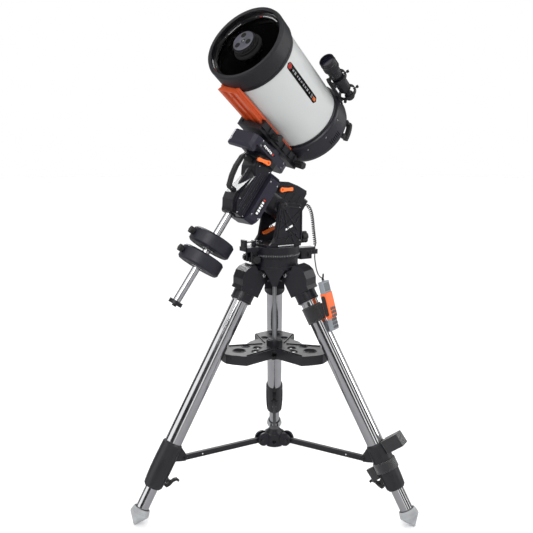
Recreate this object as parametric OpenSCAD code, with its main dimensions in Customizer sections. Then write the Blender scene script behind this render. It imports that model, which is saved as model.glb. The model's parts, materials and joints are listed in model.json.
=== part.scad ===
// Schmidt-Cassegrain telescope on a German equatorial mount and a steel tripod.
// Millimetres. +Z is up, -X is north, and the polar axis rises towards -X.

/* [Tripod] */
// Leg length from the knuckle origin to the foot tip, legs barely drawn out
leg_len = 1085; // [1080:1:1120]
// Lean of each leg from the vertical
leg_lean = 29.27; // [29:0.01:29.5]
// Outer diameter of the upper leg tubes
leg_d = 70; // [68:0.5:71]
// Outer diameter of the lower leg tubes
lower_d = 52; // [48:0.5:54]

/* [Mount] */
// Latitude setting: tilt of the polar axis above the horizon
latitude = 35; // [30:1:45]
// Declination angle of the saddle about the declination axis
dec_angle = 21; // [-60:1:60]
// Diameter of the counterweight shaft
shaft_d = 31.75; // [30:0.05:32]
// Radius of each counterweight
weight_r = 89; // [70:1:92]

/* [Optical tube] */
// Outer radius of the tube
tube_r = 152.5; // [150:0.5:154]
// Outer radius of the rear cell
cell_r = 167; // [164:0.5:168]
// Length of the dovetail bar
bar_len = 472; // [440:1:480]

/* [Hidden] */
$fn = 64;

// Tripod axis, placed so that the footprint centre is the origin
leg_top_r = 112.9;
leg_top_z = leg_len * cos(leg_lean);
axis_x = (leg_top_r + leg_len * sin(leg_lean)) / 4;
leg_az = [180, -60, 60];
hub_z = leg_top_z + 53.5;
pivot_z = hub_z + 248;
tray_z = leg_top_z - 298.5;
spread_z = leg_top_z - 694.5;

// Frames: tripod axis, each leg, polar axis, declination axis, optical tube
module tri() translate([axis_x, 0, 0]) children();
module leg(a)
    tri() rotate([0, 0, a]) translate([leg_top_r, 0, leg_top_z]) rotate([0, -leg_lean, 0]) children();
module polar()
    translate([axis_x, 0, pivot_z]) rotate([0, latitude - 90, 0]) translate([11, 0, 156]) children();
module dec() polar() rotate([dec_angle, 0, 0]) children();
module ota() dec() translate([368, 0, 0]) children();

// Plate in the local XZ plane between y0 and y1
module side_plate(y0, y1)
    translate([0, y1, 0]) rotate([90, 0, 0]) linear_extrude(y1 - y0) children();
// Cylinder along local X or Y
module cyl_x(r, x0, x1, fn = 64)
    translate([x0, 0, 0]) rotate([0, 90, 0]) cylinder(r = r, h = x1 - x0, $fn = fn);
module cyl_y(r, y0, y1, fn = 64)
    translate([0, y1, 0]) rotate([90, 0, 0]) cylinder(r = r, h = y1 - y0, $fn = fn);
module cyl_z(r, z0, z1, fn = 64) translate([0, 0, z0]) cylinder(r = r, h = z1 - z0, $fn = fn);
module ring(r_out, r_in, z0, z1)
    difference() { cyl_z(r_out, z0, z1, 96); cyl_z(r_in, z0 - 1, z1 + 1, 96); }
// Box from two opposite corners
module box(a, b) translate(a) cube(b - a);
// Box with its four upright edges rounded
module rbox(a, b, r) {
    box([a[0] + r, a[1], a[2]], [b[0] - r, b[1], b[2]]);
    box([a[0], a[1] + r, a[2]], [b[0], b[1] - r, b[2]]);
    for (x = [a[0] + r, b[0] - r], y = [a[1] + r, b[1] - r])
        translate([x, y, a[2]]) cylinder(r = r, h = b[2] - a[2], $fn = 32);
}
// Knob with finger lobes, axis along local Z
module knob(r, z0, z1, lobes = 8) difference() {
    cyl_z(r, z0, z1, 64);
    for (i = [0 : lobes - 1]) rotate([0, 0, i * 360 / lobes]) translate([r * 1.12, 0, z0 - 1])
        cylinder(r = r * 0.26, h = z1 - z0 + 2, $fn = 24);
}

// ---------------------------------------------------------------- tripod
hinge = [75.7, leg_top_z + 19.3];
module hub_tongue() difference() {
    union() {
        side_plate(-25, 25) polygon([[40, hub_z - 12], [93.7, hub_z - 12], [93.7, hinge[1]],
            [75.7, hinge[1] - 18], [40, hinge[1] - 18]]);
        translate([hinge[0], 0, hinge[1]]) cyl_y(18, -25, 25);
    }
    translate([hinge[0], 0, hinge[1]]) cyl_y(6.05, -30, 30);
}
module hub_web() {
    translate([88, 0, 0]) rotate([90, 0, 90]) linear_extrude(10)
        polygon([[-42, hub_z - 12], [42, hub_z - 12], [22, hub_z - 45], [9, hub_z - 78],
            [-9, hub_z - 78], [-22, hub_z - 45]]);
    box([30, -9, hub_z - 78], [90, 9, hub_z - 12]);
}
module tripod_hub() color("#2c2d33") tri() difference() {
    union() {
        cyl_z(100, hub_z - 12, hub_z, 96);
        cyl_z(97, hub_z, hub_z + 36, 96);
        box([-120, -3.5, hub_z + 16], [-90, 3.5, hub_z + 36]);
        cyl_z(44, hub_z - 62, hub_z - 12);
        for (a = leg_az) rotate([0, 0, a]) hub_tongue();
        for (a = leg_az) rotate([0, 0, a + 180]) hub_web();
    }
    cyl_z(8.05, hub_z - 100, hub_z - 12);
    cyl_z(10.05, hub_z - 12, hub_z + 40);
}
module hinge_bolts() color("silver") tri() for (a = leg_az) rotate([0, 0, a])
    translate([hinge[0], 0, hinge[1]]) {
        cyl_y(6, -43, 43);
        cyl_y(10.5, 43, 50, 6);
        cyl_y(10.5, -50, -43, 6);
    }
module knuckle() difference() {
    union() {
        side_plate(-43, 43) polygon([[34, 53], [52, 33], [60, 12], [57, -20], [44, -44], [44, -60],
            [-44, -60], [-44, 28], [-41, 44], [-13, 52], [9.4, 40], [21, 50]]);
        translate([-23, 0, 35]) cyl_y(20, -43, 43);
        cyl_z(44, -100, -40, 96);
    }
    cyl_z(leg_d / 2 + 0.02, -110, -14, 96);
    box([-70, -26, 14], [6, 26, 80]);
    translate([-23, 0, 35]) cyl_y(6.05, -50, 50);
    for (s = [-1, 1]) translate([0, s * 70, 0]) rotate([-s * 24, 0, 0]) box([-80, -30, 30], [80, 20, 90]);
}
module knuckles() color("#26272d") for (a = leg_az) leg(a) knuckle();
module leg_tubes() color("gainsboro") for (a = leg_az) leg(a) ring(leg_d / 2, leg_d / 2 - 2, -780, -14);
module clamp_body() difference() {
    union() {
        rotate_extrude($fn = 96) polygon([[26.05, -922], [33, -922], [38.5, -914], [41, -885], [42.5, -850],
            [43, -800], [41.5, -735], [36, -728], [26.05, -728]]);
        side_plate(-11, 11)
            polygon([[-38, -735], [-66, -752], [-84, -765], [-84, -782], [-66, -790], [-38, -800]]);
        translate([0, 0, -880]) cyl_x(11, -50, -36, 32);
    }
    cyl_z(leg_d / 2 + 0.02, -780, -700, 96);
    rotate([0, -21, 0]) box([-90, -90, -722], [90, 90, -600]);
    box([-90, -7.2, -800], [-46, 7.2, -740]);
    translate([-76, 0, -773]) cyl_y(3, -20, 20, 32);
    translate([0, 0, -880]) cyl_x(5.05, -70, -30, 32);
}
module leg_clamps() color("#1d1e22") for (a = leg_az) leg(a) clamp_body();
module lower_leg() {
    ring(lower_d / 2, lower_d / 2 - 2.5, -1040, -450);
    ring(leg_d / 2 - 2.05, lower_d / 2, -490, -452);
}
module lower_leg_n() color("gainsboro") leg(leg_az[0]) lower_leg();
module lower_leg_w() color("gainsboro") leg(leg_az[1]) lower_leg();
module lower_leg_e() color("gainsboro") leg(leg_az[2]) lower_leg();
foot_tip = 8;
foot_z = -(leg_top_z - foot_tip) / cos(leg_lean);
module foot() difference() {
    union() {
        rotate_extrude($fn = 96) polygon([[0, -1012], [30, -1012], [34, -1014], [39, -1036], [37.5, -1041],
            [foot_tip * 0.92, foot_z - 2.5], [0, foot_z - 2.5]]);
        translate([0, 0, foot_z]) sphere(r = foot_tip, $fn = 48);
    }
    cyl_z(lower_d / 2 + 0.02, -1040, -1000, 96);
}
module foot_n() color("gray") leg(leg_az[0]) foot();
module foot_w() color("gray") leg(leg_az[1]) foot();
module foot_e() color("gray") leg(leg_az[2]) foot();
// Thumb lever: a stem along local X and an S-shaped grip
module lever_grip() {
    cyl_x(5, -64, -42, 32);
    side_plate(-7, 7) polygon([[-58, -10], [-50, -16], [-50, -26], [-60, -28], [-70, -16], [-78, 2],
        [-88, 10], [-98, 7], [-99, 16], [-88, 20], [-76, 14], [-64, -4]]);
}
module leg_lock_n() color("#202125") leg(leg_az[0]) translate([0, 0, -880]) lever_grip();
module leg_lock_w() color("#202125") leg(leg_az[1]) translate([0, 0, -880]) lever_grip();
module leg_lock_e() color("#202125") leg(leg_az[2]) translate([0, 0, -880]) lever_grip();
arm_in = 70;
arm_out = leg_top_r - 76 * cos(leg_lean) + 773 * sin(leg_lean);
link_z = leg_top_z - 76 * sin(leg_lean) - 773 * cos(leg_lean);
module spreader_hub() color("#26272d") tri() difference() {
    union() {
        cyl_z(44, link_z - 32, link_z + 22, 96);
        translate([0, 0, link_z + 22]) cylinder(r1 = 40, r2 = 22, h = 18, $fn = 64);
        for (a = leg_az) rotate([0, 0, a]) for (s = [-1, 1])
            translate([arm_in - 12, s * 14, link_z + 4]) cyl_y(29, -4.5, 4.5);
    }
    for (a = leg_az) rotate([0, 0, a]) {
        box([36, -9.3, link_z - 40], [100, 9.3, link_z + 50]);
        translate([arm_in, 0, link_z]) cyl_y(4, -30, 30, 32);
        rotate([0, 0, 60]) translate([44, 0, link_z - 8]) cyl_x(9, -14, 10, 32);
    }
}
module spreader_arm() {
    difference() {
        union() {
            box([arm_in, -7, link_z - 11], [arm_out, 7, link_z + 11]);
            translate([arm_in, 0, link_z]) cyl_y(11, -7, 7);
            translate([arm_out, 0, link_z]) cyl_y(11, -7, 7);
        }
        for (s = [-1, 1]) box([arm_in + 16, s * 8 - 3, link_z - 7], [arm_out - 30, s * 8 + 3, link_z + 7]);
        translate([arm_out - 16, 0, link_z]) cyl_y(4, -10, 10, 32);
    }
    for (x = [arm_in, arm_out]) translate([x, 0, link_z]) {
        cyl_y(x == arm_in ? 3.95 : 2.95, -18.5, 18.5, 32);
        for (s = [-1, 1]) translate([0, s * (x == arm_in ? 20.5 : 13), 0]) cyl_y(7, -2, 2, 32);
    }
}
module spreader_arms() color("#26272d") tri() for (a = leg_az) rotate([0, 0, a]) spreader_arm();
module centre_rod() color("silver") tri() cyl_z(8, tray_z - 63, hub_z - 14);

// Tray: three arms with fishtail ends that cradle the legs
wall_drop = 40;
module tray_outline(m) {
    circle(r = 62 - m);
    // filled corners between the arms on the two far sides
    for (a = [0, 120]) rotate([0, 0, a]) scale((120 - m) / 120)
        polygon([[0, 0], [60, -104], [112, -50], [120, 0], [112, 50], [60, 104]]);
    for (a = leg_az) rotate([0, 0, a]) polygon([[-10, 50 - m], [-10, -50 + m], [30, -52 + m],
        [180 - m, -90 + m], [200 - m, -72 + m], [224 - m, -46], [240 - m, -20], [240 - m, 20],
        [224 - m, 46], [200 - m, 72 - m], [180 - m, 90 - m], [30, 52 - m]]);
}
module accessory_tray() color("#232429") difference() {
    union() {
        tri() translate([0, 0, tray_z - 6]) linear_extrude(6) tray_outline(0);
        difference() {
            tri() translate([0, 0, tray_z - wall_drop]) linear_extrude(wall_drop) tray_outline(0);
            tri() translate([0, 0, tray_z - wall_drop - 1]) linear_extrude(wall_drop - 5) tray_outline(5);
            tri() cyl_z(70, tray_z - wall_drop - 1, tray_z - 12);
        }
        tri() cyl_z(34, tray_z, tray_z + 26);
        tri() cyl_z(34, tray_z - 26, tray_z - 6);
    }
    tri() cyl_z(8.3, tray_z - 60, tray_z + 40);
    for (a = leg_az) leg(a) cyl_z(leg_d / 2 + 0.6, -600, 0, 96);
    tri() for (a = leg_az) rotate([0, 0, a]) {
        for (p = [[170, 0, 25.6], [116, 44, 16.1], [116, -44, 16.1], [84, 0, 16.1]])
            translate([p[0], p[1], tray_z - 50]) cylinder(r = p[2], h = 60, $fn = 64);
    }
}
module tray_knob() color("#1a1b1e") tri() difference() {
    translate([0, 0, tray_z - 52]) union() {
        knob(46, 0, 14, 10);
        cyl_z(22, 14, 25);
    }
    cyl_z(8.05, tray_z - 80, tray_z);
}

// ------------------------------------------------ hand controller and leg strap
module holder_frame() leg(leg_az[1]) children();
module leg_straps() color("#151518") holder_frame() {
    difference() {
        union() {
            ring(41, leg_d / 2 + 0.05, -192, -122);
            rbox([34, -16, -186], [60, 16, -130], 6);
        }
        cyl_z(leg_d / 2 + 0.05, -200, -110, 96);
        handset_space() box([-15, -50, -110], [40, 50, 110]);
    }
    clamp_strap();
}
// Hand controller: origin at its middle, +x to its back, +z to its top
module handset_space() translate([77, 0, -152]) rotate([0, 13.5, 0]) children();
module hand_controller() color("#e0591b") holder_frame() handset_space() {
    difference() {
        union() {
            rbox([-11, -29, -100], [9, 29, 100], 8);
            rbox([-14, -34, -44], [14, 34, 52], 10);
            translate([-1, 0, 0]) rbox([-10, -34, 52], [12, 34, 100], 9);
        }
        rbox([9.5, -24, 60], [20, 24, 92], 3);
    }
    cyl_z(5, 100, 108, 32);
    for (i = [0 : 5], j = [-1 : 1]) translate([0, j * 15, -88 + i * 15])
        cyl_x(5, i > 2 ? 13.5 : 8.5, i > 2 ? 16 : 11, 24);
}
module clamp_strap() difference() {
    union() {
        ring(47, leg_d / 2 + 9.2, -842, -802);
        translate([0, 0, -758]) rotate([0, -8, 0]) rbox([40, -28, -26], [118, 28, 26], 5);
        translate([0, 0, -830]) rotate([0, -8, 0]) rbox([-76, -27, -26], [-40, -12, 26], 4);
    }
    rotate_extrude($fn = 96) polygon([[0, -925], [33, -925], [38.5, -914], [41, -885], [42.5, -850],
        [43.4, -800], [42.2, -735], [42.2, -600], [0, -600]]);
}

// Cords: points are hand-chosen, in the part's frame relative to the tripod axis
coil_pts = [[156, 0, 1238], [168, 0, 1232], [181, 0, 1205], [188, 0, 1170], [193, 0, 1130],
    [198, 0, 1095], [201, 0, 1072], [201, 0, 1051]];
lower_pts = [[201, 0, 1029.5], [201, 0, 1010], [203, -3, 985], [203, -12, 960], [196, -38, 942],
    [180, -85, 938], [155, -135, 950], [130, -172, 972], [115, -191, 972], [112.6, -194.9, 956.6]];
function dirs(p, i) = p[min(i + 1, len(p) - 1)] - p[max(i - 1, 0)];
function mix3(p, i, t) = let (a = p[max(i - 1, 0)], b = p[i], c = p[i + 1], d = p[min(i + 2, len(p) - 1)])
    0.5 * (2 * b + (c - a) * t + (2 * a - 5 * b + 4 * c - d) * t * t
    + (3 * b - a - 3 * c + d) * t * t * t);
function smooth(p, n) =
    concat([for (i = [0 : len(p) - 2], j = [0 : n - 1]) mix3(p, i, j / n)], [p[len(p) - 1]]);
module cord_tube(p, r, sides) {
    n = len(p);
    pts = [for (i = [0 : n - 1]) let (t = dirs(p, i) / norm(dirs(p, i)), u = cross(t, [0.3, 0.95, 0]),
        a = u / norm(u), b = cross(t, a)) for (k = [0 : sides - 1])
        p[i] + r * (a * cos(k * 360 / sides) + b * sin(k * 360 / sides))];
    quads = [for (i = [0 : n - 2], k = [0 : sides - 1]) [i * sides + k, i * sides + (k + 1) % sides,
        (i + 1) * sides + (k + 1) % sides, (i + 1) * sides + k]];
    ends = [[for (k = [0 : sides - 1]) sides - 1 - k], [for (k = [0 : sides - 1]) (n - 1) * sides + k]];
    polyhedron(points = pts, faces = concat(quads, ends));
}
module cord_coil() color("#101012") tri() cord_tube(smooth(coil_pts, 2), 8, 12);
module cord_lower() color("#101012") tri() cord_tube(smooth(lower_pts, 4), 2.5, 8);

// ------------------------------------------------ azimuth body
module azimuth_base() color("#2a2b31") tri() difference() {
    union() {
        cyl_z(103, hub_z + 36.3, hub_z + 81, 96);
        cyl_z(10, hub_z - 10, hub_z + 40);
        // north arm with its end lug, and the two ears that carry the azimuth screws
        rbox([-150, -36, hub_z + 64], [-60, 36, hub_z + 81], 10);
        rbox([-150, -20, hub_z + 66], [-138, 20, hub_z + 110], 3);
        rbox([-104, -14, hub_z + 66], [-96, 14, hub_z + 106], 3);
        for (s = [-1, 1]) translate([0, s * 22.5, 0])
            rbox([-122, -7.5, hub_z + 18], [-98.5, 7.5, hub_z + 70], 3);
        // south arm with the cord clip at its end
        rbox([90, -22, hub_z + 38], [190, 22, hub_z + 62], 6);
        rbox([112, -26, hub_z + 14], [172, 26, hub_z + 50], 8);
        rbox([172, -12, hub_z + 30], [210, 12, hub_z + 50], 5);
    }
    for (s = [-1, 1]) translate([-110, s * 22.5, hub_z + 32]) {
        cyl_y(5.05, -12, 12, 32);
        translate([0, s * 19.5, 0]) cyl_y(17.2, -11.2, 11.2);
    }
    translate([-112, 0, hub_z + 100]) cyl_x(3.5, -50, 30, 32);
    for (s = [-1, 1]) translate([142, s * 27, hub_z + 32]) cyl_y(11, -5, 5, 48);
    translate([201, 0, hub_z + 52.7]) cyl_z(4, -40, 40);
}
module azimuth_knob() {
    cyl_y(5, 0, 22, 32);
    translate([0, 16.5, 0]) rotate([-90, 0, 0]) knob(16.5, 0, 20, 10);
}
module azimuth_knob_w()
    color("#101012") tri() translate([-110, -15, hub_z + 32]) rotate([180, 0, 0]) azimuth_knob();
module azimuth_knob_e()
    color("#101012") tri() translate([-110, 15, hub_z + 32]) azimuth_knob();
module cheek(s) side_plate(s > 0 ? 60 : -72, s > 0 ? 72 : -60) polygon([[-62, hub_z + 91],
    [-54, hub_z + 100], [-42, hub_z + 118], [-30, hub_z + 180], [-20, hub_z + 258], [-12, hub_z + 264],
    [76, hub_z + 256], [83, hub_z + 252], [90, hub_z + 230], [90, hub_z + 140], [88, hub_z + 91]]);
module fork_cheeks() color("#222328") tri() difference() {
    union() {
        rbox([-78, -72, hub_z + 81], [92, 72, hub_z + 91], 16);
        for (s = [-1, 1]) cheek(s);
        box([78, -60, hub_z + 91], [89, 60, hub_z + 122]);
        for (s = [-1, 1]) translate([0, 0, pivot_z]) cyl_y(18, s > 0 ? 72 : -76, s > 0 ? 76 : -72);
        // web pattern on the outer faces
        for (s = [-1, 1]) translate([0, s * 73.5, pivot_z])
            for (r = [[78, 20, 96], [56, 20, 120], [100, 20, 134], [8, 20, 84]])
                rotate([0, r[0], 0]) box([r[1], -1.5, -4], [r[2], 1.5, 0]);
    }
    translate([0, 0, pivot_z]) cyl_y(10.05, -80, 80);
    for (s = [-1, 1]) translate([30, s * 66, hub_z + 157]) rotate([0, -25, 0])
        box([-22, -20, -6], [22, 20, 6]);
    translate([0, 0, hub_z + 106]) cyl_x(6.05, 70, 100, 32);
}
module altitude_knob() color("#151517") tri() translate([0, 0, hub_z + 106]) {
    cyl_x(6, 62, 130, 32);
    translate([128, 0, 0]) rotate([0, 90, 0]) knob(25, 0, 24, 5);
}
module altitude_lock() color("#c8611f") tri() translate([-22, 0, hub_z + 128]) {
    cyl_y(5, 40, 59.5, 32);
    side_plate(42, 50) polygon([[-6, -6], [6, -6], [44, 12], [50, 20], [46, 26], [36, 24], [-6, 6]]);
}

// ------------------------------------------------ altitude body: RA housing
module ra_housing() color("#24252a") polar() difference() {
    union() {
        cyl_z(58, -230, -83.3, 96);
        side_plate(-56, 56)
            polygon([[0, -86], [60, -86], [86, -129], [98, -175], [104, -222], [92, -230], [0, -230]]);
        rbox([-40, -40, -262], [80, 40, -230], 8);
        translate([-11, 0, -156]) cyl_y(10, -71.5, 71.5);
        translate([-11, 0, -156]) cyl_y(30, -59.7, 59.7);
        translate([40, 0, -116]) cyl_y(13, -62, -50, 48);
    }
    translate([40, 0, -116]) cyl_y(4.05, -64, -52, 32);
    translate([68, 0, 0]) cyl_z(8.95, -270, -254, 48);
}
module clutch_lever(a) rotate([0, a, 0]) difference() {
    union() {
        cyl_y(10, -8, 0, 48);
        side_plate(-8, -1)
            polygon([[0, -9], [30, -6], [44, -8], [50, -5], [50, 6], [44, 8], [30, 6], [0, 9]]);
        cyl_y(4, -1, 10, 32);
    }
    cyl_y(4.5, -9, -3, 32);
}
module ra_clutch() color("#f06a20") polar() translate([40, -62.4, -116]) clutch_lever(53);
module cord_plug() color("#111113") polar() translate([68, 0, -264]) {
    cyl_z(8.9, 2.1, 10, 32);
    cyl_z(6, -6, 2.1, 32);
}

// ------------------------------------------------ right ascension body
module ra_cover() color("#2b2c33") polar() translate([0, 0, -83]) linear_extrude(47)
    polygon([[67, -62], [45, -90], [-118, -90], [-136, -82], [-150, -60], [-150, 60], [-136, 82],
        [-118, 90], [45, 90], [67, 62]]);
module dec_profile(d)
    polygon([[-138, -36], [-150, -24], [-150, 17], [-134, 24 + d], [-109, 40 + d], [-80, 45 + d],
        [-20, 27 + d], [18, 15 + d], [52, 36], [80, 42], [80, -36]]);
module dec_housing() color("#2a2b32") polar() {
    difference() {
        union() {
            side_plate(-46, 46) dec_profile(0);
            translate([-50, 0, 0]) rotate([90, 0, 90]) linear_extrude(100)
                polygon([[-46, 8], [-46, 16], [-20, 28], [0, 32], [20, 28], [46, 16], [46, 8]]);
            for (s = [-1, 1]) side_plate(s > 0 ? 46 : -64, s > 0 ? 64 : -46)
                polygon([[-138, -36], [-150, -24], [-150, 5], [-134, 12], [-109, 26], [-80, 32],
                    [-20, 22], [18, 15], [52, 34], [80, 40], [80, -36]]);
            intersection() {
                cyl_x(76, 80, 104.7, 96);
                box([70, -80, -35.7], [110, 80, 80]);
            }
            translate([84, -78, 8]) cyl_y(13, -4, 10, 48);
        }
        cyl_x(15.9, -160, -110, 64);
        translate([84, -82, 8]) cyl_y(4.05, -3, 16, 32);
        for (s = [-1, 1], z = [-8, 14]) translate([0, s * 64, z]) box([-120, -1.5, -2], [30, 1.5, 2]);
    }
}
module carry_handle() color("#1b1c20") polar() difference() {
    side_plate(-14, 14) polygon([[-71, 36], [-71, 59], [-64, 69], [-22, 82], [20, 88], [68, 86],
        [79.6, 80], [79.6, 36]]);
    side_plate(-15, 15)
        polygon([[-57, 30], [-57, 56], [-52, 61], [-22, 69.5], [18, 75.5], [60, 74.5], [66, 69], [66, 30]]);
    side_plate(-70, 70) dec_profile(0);
}
module dec_clutch() color("#f06a20") polar() translate([84, -82.4, 8]) clutch_lever(-105);
module weight_shaft() color("gainsboro") polar() difference() {
    cyl_x(shaft_d / 2, -558, -110.5, 96);
    cyl_x(4.9, -560, -520, 32);
}
module shaft_stop() color("#17181b") polar() {
    difference() {
        cyl_x(28.5, -574, -558, 96);
        cyl_x(5, -580, -550, 32);
    }
    cyl_x(4.88, -575, -530, 32);
    cyl_x(10, -581, -574, 6);
}
module weight() rotate([0, -90, 0]) difference() {
    rotate_extrude($fn = 128) polygon([[0, 0], [weight_r - 7, 0], [weight_r, 7], [weight_r, 51],
        [weight_r - 7, 58], [0, 58]]);
    cyl_z(shaft_d / 2 + 0.055, -1, 59, 96);
    translate([0, 0, 29]) cyl_x(4.05, 10, weight_r + 5, 32);
    for (z = [-1, 56.5]) difference() {
        cyl_z(weight_r - 22, z, z + 2.5, 96);
        cyl_z(weight_r - 50, z - 1, z + 4, 96);
    }
}
module counterweight_upper() color("#2a2b31") polar() translate([-264, 0, 0]) weight();
module counterweight_lower() color("#2a2b31") polar() translate([-346, 0, 0]) weight();
module weight_knob() {
    cyl_z(4, 22, weight_r + 8, 32);
    translate([0, 0, weight_r + 3]) knob(14, 0, 17, 6);
}
module weight_knob_upper() color("#101012") polar() translate([-293, 0, 0]) weight_knob();
module weight_knob_lower() color("#101012") polar() translate([-375, 0, 0]) weight_knob();

// ------------------------------------------------ declination body
module dec_head() color("#2b2c33") dec() {
    difference() {
        union() {
            rotate([0, 90, 0]) translate([0, 0, 105]) linear_extrude(33)
                polygon([[93, -40], [80, -60], [50, -75], [-128, -75], [-150, -66], [-158, -50], [-158, 50],
                    [-150, 66], [-128, 75], [50, 75], [80, 60], [93, 40]]);
            intersection() {
                side_plate(-70, 70)
                    polygon([[105, 112], [97, 113], [84, 119], [76, 131], [79, 148], [91, 158], [105, 158]]);
                rotate([0, 90, 0]) translate([0, 0, 50]) linear_extrude(60)
                    polygon([[-111, -48], [-126, -66], [-140, -70], [-151, -64], [-158, -48], [-158, 48],
                        [-151, 64], [-140, 70], [-126, 66], [-111, 48]]);
            }
            cyl_x(55, 138, 160, 96);
        }
        translate([125, -75, 25]) cyl_y(4, -2, 3, 32);
    }
}
module saddle() color("#1c1d21") dec() difference() {
    union() {
        box([160, -58, -138], [172, 66, 155]);
        box([172, -49.5, -134], [186.9, 50, 150]);
        side_z(-138, 155) polygon([[172, 50.3], [190.1, 50.3], [200.1, 43.6], [203, 43.6], [203, 60],
            [198, 66], [172, 66]]);
    }
    for (z = [75, -124]) translate([180, 0, z]) cyl_y(4.05, -60, 20, 32);
    for (z = [-85, -45, 5, 45, 115]) box([171, 58, z - 12], [210, 70, z + 12]);
}
module side_z(z0, z1) translate([0, 0, z0]) linear_extrude(z1 - z0) children();
module saddle_jaw() color("#1c1d21") dec() difference() {
    side_z(-138, 155) polygon([[172.3, -50.3], [190.1, -50.3], [200.1, -43.6], [203, -43.6],
        [203, -60], [198, -66], [172.3, -66]]);
    for (z = [75, -124]) translate([180, 0, z]) cyl_y(4.05, -70, -40, 32);
    for (z = [-82, -42, 8, 120]) box([171, -70, z - 12], [210, -60, z + 12]);
}
module saddle_knob() {
    cyl_y(4, -98, 18, 32);
    translate([0, -67, 0]) rotate([90, 0, 0]) knob(15, 0, 36, 6);
}
module saddle_knob_front() color("#111113") dec() translate([180, 0, 75]) saddle_knob();
module saddle_knob_rear() color("#111113") dec() translate([180, 0, -124]) saddle_knob();
module dovetail_bar() color("#d9531e") difference() {
    dec() difference() {
        union() {
            side_z(-132, bar_len - 136) polygon([[187.2, 50], [190, 50], [200, 43.3], [203.3, 43.3],
                [206, 47], [215, 47], [215, 34], [199.5, 34], [199.5, -34], [215, -34], [215, -47],
                [206, -47], [203.3, -43.3], [200, -43.3], [190, -50], [187.2, -50], [187.2, -34],
                [195.8, -31], [195.8, -8], [189, -7], [189, 7], [195.8, 8], [195.8, 31], [187.2, 34]]);
            side_z(bar_len - 136, bar_len - 132) polygon([[187.2, 50], [190, 50], [200, 43.3],
                [203.3, 43.3], [206, 47], [215, 47], [215, 34], [199.5, 34], [199.5, -34], [215, -34],
                [215, -47], [206, -47], [203.3, -43.3], [200, -43.3], [190, -50], [187.2, -50]]);
        }
        for (z = [-100, 0, 200, 300]) translate([180, 0, z]) cyl_x(4, 0, 30, 32);
    }
    ota() cyl_z(161.9, 317, 400, 128);
    ota() cyl_z(cell_r + 0.4, -200, -69.5, 128);
    ota() cyl_z(tube_r + 0.4, -70, 318, 128);
}

// ------------------------------------------------ optical tube
module optical_tube() color("gainsboro") ota() ring(tube_r, tube_r - 2, -70, 318);
module front_cell() color("#17181b") ota() difference() {
    rotate_extrude($fn = 128) polygon([[146, 318], [155, 318], [160, 324], [161.5, 330], [161.5, 387],
        [158, 395], [152, 396], [146, 393]]);
    cyl_z(142, 300, 312, 96);
}
module corrector_plate() color("#9fb7c4", 0.4) ota() difference() {
    union() {
        cyl_z(145.9, 358, 363, 128);
        ring(145.9, 133, 363, 367);
    }
    cyl_z(50.05, 350, 370, 96);
}
module secondary_holder() color("#1a1b1e") ota() {
    rotate_extrude($fn = 96) polygon([[0, 338], [46, 338], [50, 342], [50, 363.1], [58, 363.1], [58, 369],
        [54, 374], [51, 376], [51, 384], [46.5, 386], [46.5, 398], [44, 400], [0, 400]]);
}
module rear_cell() color("#2a2b30") ota() difference() {
    rotate_extrude($fn = 128) polygon([[27.1, -180], [120, -180], [152, -176], [163, -166],
        [cell_r, -150], [cell_r, -80], [164, -73], [158, -70], [150, -70], [150, -158], [140, -166],
        [27.1, -170]]);
    rotate([0, 0, 150]) translate([88, 0, 0]) cyl_z(5.05, -190, -150, 32);
    for (a = [-100, 80], i = [-3 : 3]) rotate([0, 0, a + i * 3]) box([158, -2, -146], [180, 2, -122]);
}
module rear_handle() color("#1b1c20") ota() difference() {
    union() {
        rotate([0, 0, -88]) rotate_extrude(angle = 28, $fn = 128) translate([150, -208]) square([20, 15]);
        for (a = [-88, -65]) rotate([0, 0, a])
            rotate_extrude(angle = 5, $fn = 128) translate([146, -194]) square([20, 24]);
    }
    rotate_extrude($fn = 128) polygon([[0, -180], [120, -180], [152, -176], [163, -166], [cell_r, -150],
        [cell_r, -60], [0, -60]]);
}
module focus_knob() color("#131315") ota() rotate([0, 0, 150]) translate([88, 0, 0]) {
    cyl_z(5, -182, -152, 32);
    translate([0, 0, -206]) knob(16, 0, 25.5, 16);
}
module primary_mirror() color("#dfe6ea") ota() difference() {
    cyl_z(142, -140, -108, 128);
    cyl_z(30, -150, -100, 64);
    translate([0, 0, 1150]) sphere(r = 1262, $fn = 200);
}
module baffle_tube() color("#121214") ota() rotate_extrude($fn = 64) polygon([[24, -172], [27, -172],
    [27, -169.5], [29.9, -169.5], [29.9, -100], [26, 90], [23, 90], [24, -100]]);
module visual_back() color("#b9bcc0") ota() rotate_extrude($fn = 96) polygon([[25.6, -222], [33, -222],
    [34, -220], [34, -200], [38, -198], [38, -180.1], [27, -180.1], [27, -172.1], [25.6, -172.1]]);

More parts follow.
